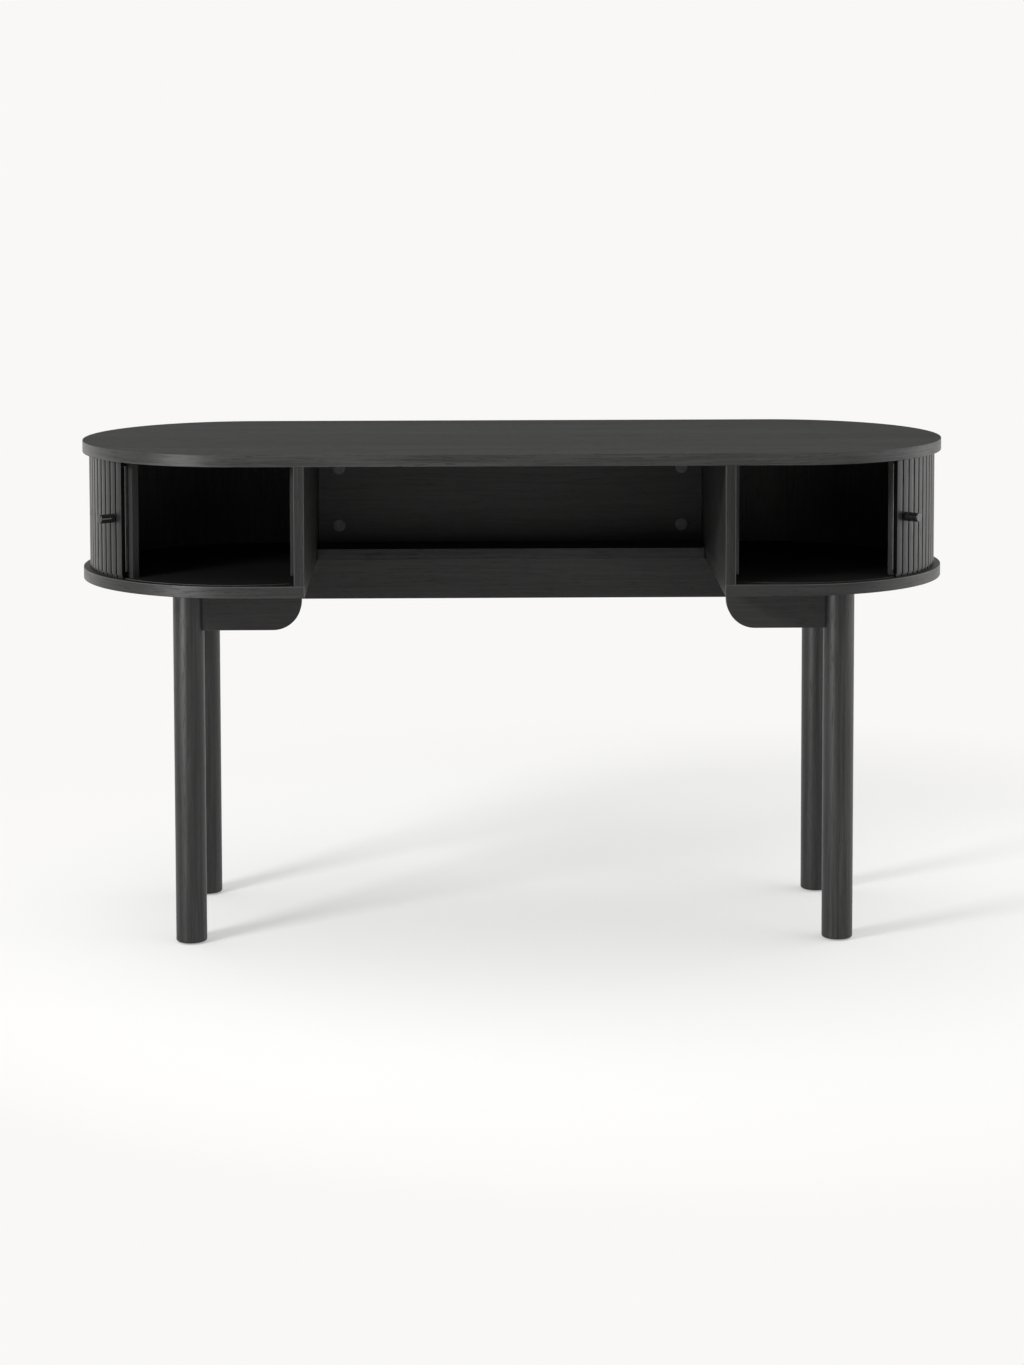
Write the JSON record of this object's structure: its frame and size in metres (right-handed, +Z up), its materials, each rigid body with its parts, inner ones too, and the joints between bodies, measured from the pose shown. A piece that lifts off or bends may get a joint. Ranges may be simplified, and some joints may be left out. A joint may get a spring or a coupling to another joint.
{
  "type": "tambour desk",
  "caption": "Black-stained desk with a half-round-ended top, end cabinets with curved sliding slat doors, an open knee bay and round legs.",
  "frame": {"origin": "on the floor under the middle of the top", "axes": "+X to the right along the length, +Y to the rear, +Z up"},
  "size_m": [1.3598, 0.51, 0.772],
  "materials": {
    "black_oak": "black-stained open-pore oak veneer, satin",
    "slat_wood": "black-stained slats, satin",
    "knob_black": "black lacquered turned wood",
    "cover_plastic": "dark moulded cover cap",
    "glide_plastic": "black nail-in glide",
    "beech_dowel": "plain fluted dowel",
    "zinc_steel": "zinc-plated steel",
    "canvas": "dark woven cotton backing"
  },
  "bodies": {
    "desk_case": {"bottom_panel_left": "black_oak", "bottom_panel_right": "black_oak", "cam_bolts": "zinc_steel", "cam_covers": "cover_plastic", "cam_discs": "zinc_steel", "case_screws": "zinc_steel", "door_stop_left": "black_oak", "door_stop_right": "black_oak", "foot_glides": "glide_plastic", "front_apron_left": "black_oak", "front_apron_right": "black_oak", "leg_bolts": "zinc_steel", "leg_front_left": "black_oak", "leg_front_right": "black_oak", "leg_inserts": "zinc_steel", "leg_rear_left": "black_oak", "leg_rear_right": "black_oak", "liner_left": "black_oak", "liner_pins": "beech_dowel", "liner_right": "black_oak", "middle_back_panel": "black_oak", "middle_ledge": "black_oak", "panel_dowels": "beech_dowel", "partition_left": "black_oak", "partition_right": "black_oak", "rail_dowels": "beech_dowel", "rail_screws": "zinc_steel", "rear_rail": "black_oak", "side_rail_left": "black_oak", "side_rail_right": "black_oak", "top_panel": "black_oak"},
    "left_door": {"canvas_left": "canvas", "knob_left": "knob_black", "knob_screw_left": "zinc_steel", "lead_batten_left": "slat_wood", "lead_slat_left": "slat_wood", "slats_left": "slat_wood"},
    "right_door": {"canvas_right": "canvas", "knob_right": "knob_black", "knob_screw_right": "zinc_steel", "lead_batten_right": "slat_wood", "lead_slat_right": "slat_wood", "slats_right": "slat_wood"}
  },
  "joints": [
    {"name": "left_door_slide", "type": "hinge", "parent": "desk_case", "child": "left_door", "pos_m": [-0.425, 0, 0.66], "axis": [0, 0, 1], "range_deg": [0, 65.7]},
    {"name": "right_door_slide", "type": "hinge", "parent": "desk_case", "child": "right_door", "pos_m": [0.425, 0, 0.66], "axis": [0, 0, -1], "range_deg": [-4.9, 60.8]}
  ]
}
